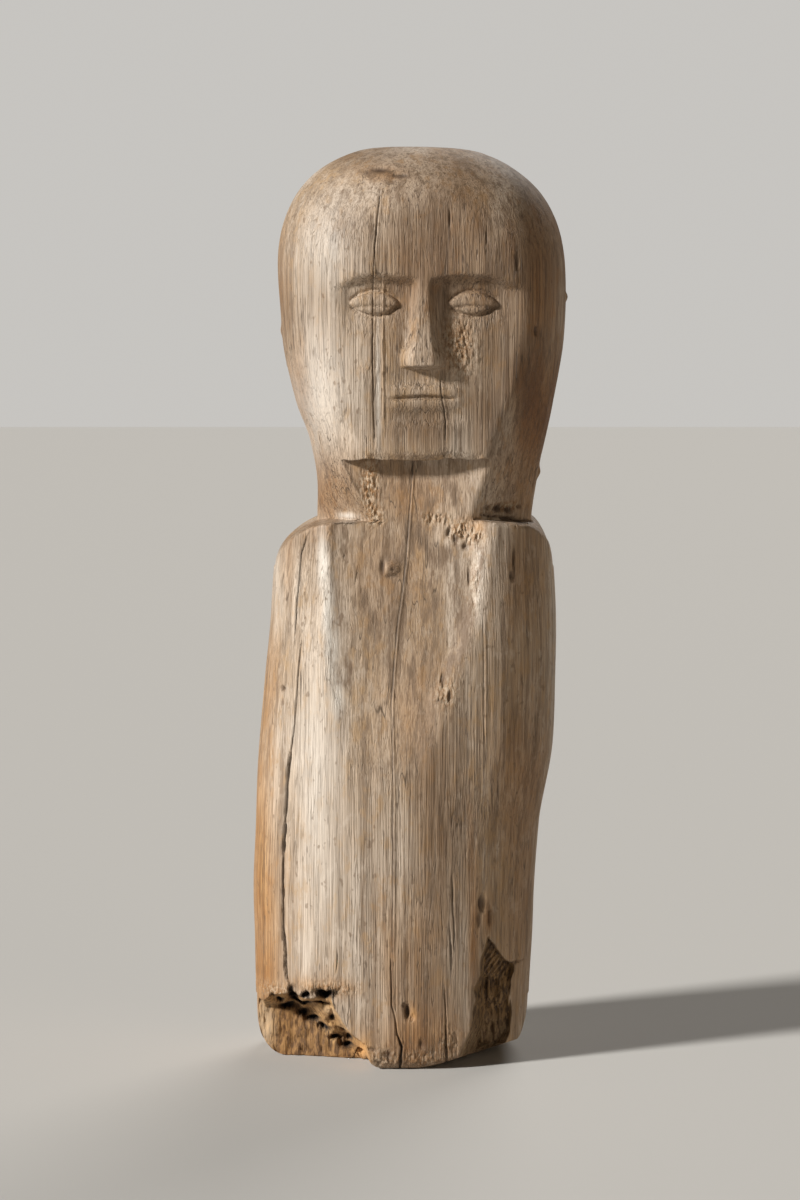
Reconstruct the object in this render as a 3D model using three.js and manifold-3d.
// A standing votive figure, carved in one from a length of trunk: a domed head on a wide neck, square
// shoulders, a scooped chest and a plain rounded body. The foot is broken away at its two front corners and
// worn up a little at the front right.
// Sizes are in millimetres. +X is the viewer's right, +Y goes away from the viewer and +Z is up.
// The origin is the middle of the underside.

import * as THREE from 'three';
import { mergeVertices } from 'three/addons/utils/BufferGeometryUtils.js';
import Module from 'manifold-3d';

// Driving sizes of the whole figure
const figureHeight = 300;
const shoulderHeight = 179;
const headHeight = figureHeight / 3;
const chinHeight = figureHeight - headHeight;
const reach = 60; // further out than any surface, for the cutting tools

// Body outline from the foot up: middle and half width across, and how far it comes forward and back
const trunkStations = [
  { z: 0, middle: -6.0, halfWidth: 45.6, front: 35.0, back: 34.5 },
  { z: 50, middle: -5.3, halfWidth: 46.9, front: 35.5, back: 35.0 },
  { z: 77, middle: -3.7, halfWidth: 47.4, front: 36.0, back: 35.5 },
  { z: 104, middle: -1.0, halfWidth: 48.9, front: 36.5, back: 36.0 },
  { z: 126, middle: 0.3, halfWidth: 48.6, front: 36.5, back: 36.0 },
  { z: 150, middle: 1.6, halfWidth: 47.6, front: 35.5, back: 35.5 },
  { z: 179, middle: 2.0, halfWidth: 46.0, front: 33.5, back: 34.0 },
];
const trunkSquareness = 2.35; // 2 is an ellipse, larger is squarer

// Shoulders slope away from the neck along a quarter ellipse that starts at these distances from the axis
const shoulder = { from: 162, left: 20.4, right: 36.8, back: 24, frontRounding: 2.5 };

// The foot pulls in along quarter ellipses too: how high each one starts and how far in it ends
const footHeight = { left: 14, right: 18, back: 7 };
const footInset = { left: 11, right: 13, back: 3.5 };
const footFrontRounding = 4.5;

// Head and neck outline, up to the widest part of the head; the dome above it is one formula
const headStations = [
  { z: 160, middle: 5.0, halfWidth: 35.6, front: 36.0, back: 30.5 },
  { z: 179, middle: 5.4, halfWidth: 35.8, front: 36.0, back: 31.0 },
  { z: 191, middle: 5.9, halfWidth: 36.8, front: 36.5, back: 32.0 },
  { z: 204, middle: 5.9, halfWidth: 39.4, front: 37.0, back: 34.0 },
  { z: 217, middle: 4.9, halfWidth: 43.0, front: 37.0, back: 36.0 },
  { z: 237, middle: 4.1, halfWidth: 46.7, front: 37.0, back: 37.5 },
  { z: 257, middle: 4.1, halfWidth: 47.6, front: 37.0, back: 38.0 },
];
const headSquareness = 2.15;
const dome = { from: 257, roundness: 2.4, shift: -2.2, crownShare: 0.16 };

// Hewn sides of the neck: the direction each flat faces, and its distance from the axis by height
const neckFlats = [
  {
    faces: [-0.789, -0.615],
    distances: [[176, 24.5], [180, 25.6], [187, 29], [195, 32.2], [204, 36.5], [215, 45]],
  },
  {
    faces: [0.693, -0.722],
    distances: [[176, 33], [185, 34.4], [204, 39.4], [216, 42.4], [232, 46.5], [245, 52]],
  },
];

// Carving on the front. Depths are Y values, so the front of the block is about -37.
const forehead = { bottomY: -33.6, topY: -31.6, top: 286 };
const cheekY = -31.2;
const browHeight = chinHeight + headHeight * 0.57;
const noseBase = chinHeight + headHeight * 0.285;
const nose = { rootWidth: 8, baseWidth: 16, rootY: -33.6, baseY: -36.4, undercut: 2 };
const chest = { neckY: -25.0, undercut: 1.5, endHeight: 104, endY: -37.0, turnDegrees: -2 };

// Missing corners of the foot. Each profile is the broken surface in the side view, (Y, Z) points from below
const rottedCorner = { left: -reach, right: -21, lean: 7, profile: [[-10, -1], [-11, 9], [-30, 27]] };
const brokenCorner = {
  left: 22.5,
  right: 33.5,
  lean: -4,
  profile: [[-13.5, -1], [-21, 22], [-27, 31], [-32, 43]],
};

// The front right of the underside is worn up to a plane: its rise along X and Y, and its height on the axis
const wornFoot = { alongX: 0.324, alongY: -0.225, height: -8.73 };

// How finely the surfaces are divided
const columns = 84;
const trunkRows = 15;
const roundingRows = 5;
const headRows = 14;
const domeRows = 9;

const woodColor = 0xa98f72;

const wasm = await Module();
wasm.setup();

// Smooth value of one size at a height, through the stations, with no overshoot between them
function sizeAt(stations, name, z) {
  const last = stations.length - 1;
  if (z <= stations[0].z) return stations[0][name];
  if (z >= stations[last].z) return stations[last][name];
  const slope = (a, b) => (stations[b][name] - stations[a][name]) / (stations[b].z - stations[a].z);
  const tangent = (i) => {
    if (i === 0 || i === last) return 0;
    const below = slope(i - 1, i);
    const above = slope(i, i + 1);
    return below * above <= 0 ? 0 : (2 * below * above) / (below + above);
  };
  const i = stations.findIndex((station) => station.z > z) - 1;
  const span = stations[i + 1].z - stations[i].z;
  const t = (z - stations[i].z) / span;
  const rise = stations[i + 1][name] - stations[i][name];
  const ease = t * t * (3 - 2 * t);
  const fromBelow = t * (1 - t) * (1 - t) * span * tangent(i);
  const fromAbove = t * t * (t - 1) * span * tangent(i + 1);
  return stations[i][name] + rise * ease + fromBelow + fromAbove;
}

function sectionAt(stations, z) {
  const names = ['middle', 'halfWidth', 'front', 'back'];
  return Object.fromEntries(names.map((name) => [name, sizeAt(stations, name, z)]));
}

// One closed ring of points around a section, counter-clockwise from above
function ring(section, z, squareness) {
  const points = [];
  const power = 2 / squareness;
  for (let i = 0; i < columns; i += 1) {
    const angle = (i / columns) * 2 * Math.PI;
    const across = Math.sign(Math.cos(angle)) * Math.abs(Math.cos(angle)) ** power;
    const along = Math.sign(Math.sin(angle)) * Math.abs(Math.sin(angle)) ** power;
    const depth = along < 0 ? section.front : section.back;
    points.push([section.middle + section.halfWidth * across, depth * along, z]);
  }
  return points;
}

// A closed surface through rings of equal length, from the lowest to the highest, capped with fans
function loft(rings) {
  const positions = rings.flat(2);
  const indices = [];
  const middleOf = (points) => [0, 1, 2].map((axis) => points.reduce((sum, p) => sum + p[axis], 0) / columns);
  const lowCentre = rings.length * columns;
  const highCentre = lowCentre + 1;
  positions.push(...middleOf(rings[0]), ...middleOf(rings[rings.length - 1]));
  for (let column = 0; column < columns; column += 1) {
    const next = (column + 1) % columns;
    const topRow = (rings.length - 1) * columns;
    indices.push(lowCentre, next, column);
    indices.push(highCentre, topRow + column, topRow + next);
    for (let row = 0; row < rings.length - 1; row += 1) {
      const low = row * columns;
      const high = low + columns;
      indices.push(low + column, low + next, high + next);
      indices.push(low + column, high + next, high + column);
    }
  }
  const geometry = new THREE.BufferGeometry();
  geometry.setAttribute('position', new THREE.Float32BufferAttribute(positions, 3));
  geometry.setIndex(indices);
  return geometry;
}

// How far a quarter-round edge has pulled in at a distance from the end face
function roundingInset(radius, distance) {
  const rise = Math.max(radius - distance, 0);
  return radius - Math.sqrt(radius * radius - rise * rise);
}

// 0 at an end face, rising along a quarter ellipse to 1 at a height away from it
function lid(distance, height) {
  const fall = THREE.MathUtils.clamp(1 - distance / height, 0, 1);
  return Math.sqrt(1 - fall * fall);
}

// Heights that are close together over the rounded ends and even between them
function roundedHeights(bottom, top, bottomRadius, topRadius) {
  const heights = [];
  for (let i = 0; i <= roundingRows; i += 1) {
    heights.push(bottom + bottomRadius * (1 - Math.cos((i / roundingRows) * Math.PI / 2)));
  }
  for (let i = 1; i < trunkRows; i += 1) {
    heights.push(THREE.MathUtils.lerp(bottom + bottomRadius, top - topRadius, i / trunkRows));
  }
  for (let i = roundingRows; i >= 0; i -= 1) {
    heights.push(top - topRadius * (1 - Math.cos((i / roundingRows) * Math.PI / 2)));
  }
  return heights;
}

// Where the sloping shoulders and the rounded foot end, to the left, to the right and at the back
function trunkLimits(section, z) {
  const { middle, halfWidth, back } = section;
  const far = { left: halfWidth - middle, right: halfWidth + middle, back };
  const slope = lid(shoulderHeight - z, shoulderHeight - shoulder.from);
  const limits = {};
  for (const side of ['left', 'right', 'back']) {
    const onShoulder = THREE.MathUtils.lerp(shoulder[side], far[side], slope);
    const onFoot = far[side] - footInset[side] * (1 - lid(z, footHeight[side]));
    limits[side] = z > shoulder.from ? onShoulder : onFoot;
  }
  return limits;
}

function trunk() {
  const heights = roundedHeights(0, shoulderHeight, footHeight.right, shoulderHeight - shoulder.from);
  const rings = heights.map((z) => {
    const section = sectionAt(trunkStations, z);
    const limits = trunkLimits(section, z);
    section.front -= roundingInset(footFrontRounding, z);
    section.front -= roundingInset(shoulder.frontRounding, shoulderHeight - z);
    return ring(section, z, trunkSquareness).map(([x, y]) => [
      THREE.MathUtils.clamp(x, -limits.left, limits.right),
      Math.min(y, limits.back),
      z,
    ]);
  });
  return loft(rings);
}

function distanceAt(distances, z) {
  const last = distances.length - 1;
  const i = THREE.MathUtils.clamp(distances.findIndex(([height]) => height > z), 1, last);
  const [[lowZ, low], [highZ, high]] = [distances[i - 1], distances[i]];
  return THREE.MathUtils.lerp(low, high, THREE.MathUtils.clamp((z - lowZ) / (highZ - lowZ), 0, 1));
}

// Points that stand out past a flat of the neck are moved straight in onto it
function hewNeck(points, z) {
  for (const { faces, distances } of neckFlats) {
    if (z < distances[distances.length - 1][0]) {
      const distance = distanceAt(distances, z);
      for (const point of points) {
        const over = Math.max(point[0] * faces[0] + point[1] * faces[1] - distance, 0);
        point[0] -= over * faces[0];
        point[1] -= over * faces[1];
      }
    }
  }
  return points;
}

function headAndNeck() {
  const rings = [];
  const bottom = headStations[0].z;
  for (let row = 0; row < headRows; row += 1) {
    const z = THREE.MathUtils.lerp(bottom, dome.from, row / headRows);
    rings.push(hewNeck(ring(sectionAt(headStations, z), z, headSquareness), z));
  }
  const widest = sectionAt(headStations, dome.from);
  for (let row = 0; row <= domeRows; row += 1) {
    // Steps even in angle, stopped short of the top so that the crown is a small flat
    const angle = (row / domeRows) * (Math.PI / 2) * (1 - dome.crownShare / 2);
    const rise = Math.sin(angle) ** (2 / dome.roundness);
    const share = Math.cos(angle) ** (2 / dome.roundness);
    const section = {
      middle: widest.middle + dome.shift * rise * rise,
      halfWidth: widest.halfWidth * share,
      front: widest.front * share,
      back: widest.back * share,
    };
    rings.push(ring(section, THREE.MathUtils.lerp(dome.from, figureHeight, rise), headSquareness));
  }
  const top = Math.max(...rings.map((points) => points[0][2]));
  const stretch = (figureHeight - dome.from) / (top - dome.from);
  for (const points of rings) {
    for (const point of points) {
      if (point[2] > dome.from) point[2] = dome.from + (point[2] - dome.from) * stretch;
    }
  }
  return loft(rings);
}

// A prism whose outline is drawn in the side view (Y forward and back, Z up), from left to right
function sideProfilePrism(outline, left, right) {
  const shape = new THREE.Shape(outline.map(([y, z]) => new THREE.Vector2(y, z)));
  const geometry = new THREE.ExtrudeGeometry(shape, { depth: right - left, bevelEnabled: false });
  const toSideView = new THREE.Matrix4().makeBasis(
    new THREE.Vector3(0, 1, 0),
    new THREE.Vector3(0, 0, 1),
    new THREE.Vector3(1, 0, 0),
  );
  geometry.applyMatrix4(toSideView);
  geometry.translate(left, 0, 0);
  return geometry;
}

// The scoop below the chin: one sloping plane makes the flat neck and the tapering hollow of the chest
function chestCut() {
  const outline = [
    [-reach, chinHeight],
    [nose.baseY, chinHeight],
    [chest.neckY, chinHeight + chest.undercut],
    [chest.endY, chest.endHeight],
    [-reach, chest.endHeight],
  ];
  const geometry = sideProfilePrism(outline, -reach, reach);
  geometry.rotateZ(THREE.MathUtils.degToRad(chest.turnDegrees));
  return geometry;
}

function foreheadCut() {
  const outline = [
    [-reach, browHeight - 1],
    [forehead.bottomY, browHeight - 1],
    [forehead.topY, forehead.top],
    [-reach, forehead.top],
  ];
  return sideProfilePrism(outline, -reach, reach);
}

// The plane of the eyes and cheeks, under the edge of the brow
function cheekCut() {
  const outline = [
    [-reach, chinHeight - 1],
    [cheekY, chinHeight - 1],
    [cheekY, browHeight - 3],
    [forehead.bottomY, browHeight],
    [-reach, browHeight],
  ];
  return sideProfilePrism(outline, -reach, reach);
}

// A straight wedge, narrow at the brow, with its underside cut back
function noseWedge() {
  const middle = sizeAt(headStations, 'middle', browHeight);
  const geometry = new THREE.BoxGeometry(1, 1, 1);
  const position = geometry.getAttribute('position');
  for (let i = 0; i < position.count; i += 1) {
    const atTop = position.getZ(i) > 0;
    const atFront = position.getY(i) < 0;
    const width = atTop ? nose.rootWidth : nose.baseWidth;
    const spread = atFront ? 0.6 : 1.15;
    const frontY = atTop ? nose.rootY : nose.baseY;
    const bottom = atFront ? noseBase : noseBase - nose.undercut;
    position.setX(i, middle + Math.sign(position.getX(i)) * (width / 2) * spread);
    position.setY(i, atFront ? frontY : cheekY + 4);
    position.setZ(i, atTop ? browHeight + 1 : bottom);
  }
  return geometry;
}

// A missing corner of the foot, its inner wall leaning from the top towards the underside
function cornerCut(corner) {
  const top = corner.profile[corner.profile.length - 1][1];
  const outline = [[-reach, -1], ...corner.profile, [-reach, top]];
  const geometry = sideProfilePrism(outline, corner.left, corner.right);
  const position = geometry.getAttribute('position');
  for (let i = 0; i < position.count; i += 1) {
    const low = 1 - THREE.MathUtils.clamp(position.getZ(i) / top, 0, 1);
    position.setX(i, position.getX(i) + corner.lean * low);
  }
  return geometry;
}

// A block whose top face is the plane that the foot is worn up to
function wornFootCut() {
  const thickness = 40;
  const geometry = new THREE.BoxGeometry(3 * reach, 3 * reach, thickness);
  geometry.translate(0, 0, -thickness / 2);
  const normal = new THREE.Vector3(-wornFoot.alongX, -wornFoot.alongY, 1).normalize();
  const tilt = new THREE.Quaternion().setFromUnitVectors(new THREE.Vector3(0, 0, 1), normal);
  geometry.applyQuaternion(tilt);
  geometry.translate(0, 0, wornFoot.height);
  return geometry;
}

function toSolid(geometry) {
  const bare = geometry.clone();
  bare.deleteAttribute('normal');
  bare.deleteAttribute('uv');
  const merged = mergeVertices(bare, 1e-4);
  return new wasm.Manifold(new wasm.Mesh({
    numProp: 3,
    vertProperties: new Float32Array(merged.getAttribute('position').array),
    triVerts: new Uint32Array(merged.getIndex().array),
  }));
}

function toGeometry(solid) {
  const mesh = solid.getMesh();
  const geometry = new THREE.BufferGeometry();
  geometry.setAttribute('position', new THREE.BufferAttribute(mesh.vertProperties, 3));
  geometry.setIndex(new THREE.BufferAttribute(mesh.triVerts, 1));
  return geometry;
}

function statuette() {
  const corners = [cornerCut(rottedCorner), cornerCut(brokenCorner), wornFootCut()];
  const cuts = [foreheadCut(), cheekCut(), chestCut(), ...corners];
  let solid = toSolid(trunk()).add(toSolid(headAndNeck()));
  for (const cut of cuts) solid = solid.subtract(toSolid(cut));
  solid = solid.add(toSolid(noseWedge()));
  const geometry = toGeometry(solid);
  geometry.computeBoundingBox();
  const centre = geometry.boundingBox.getCenter(new THREE.Vector3());
  geometry.translate(-centre.x, -centre.y, -geometry.boundingBox.min.z);
  geometry.computeVertexNormals();
  const wood = new THREE.MeshStandardMaterial({ color: woodColor, roughness: 0.8, metalness: 0 });
  const mesh = new THREE.Mesh(geometry, wood);
  mesh.name = 'statuette';
  return mesh;
}

const group = new THREE.Group();
group.add(statuette());

export default group;
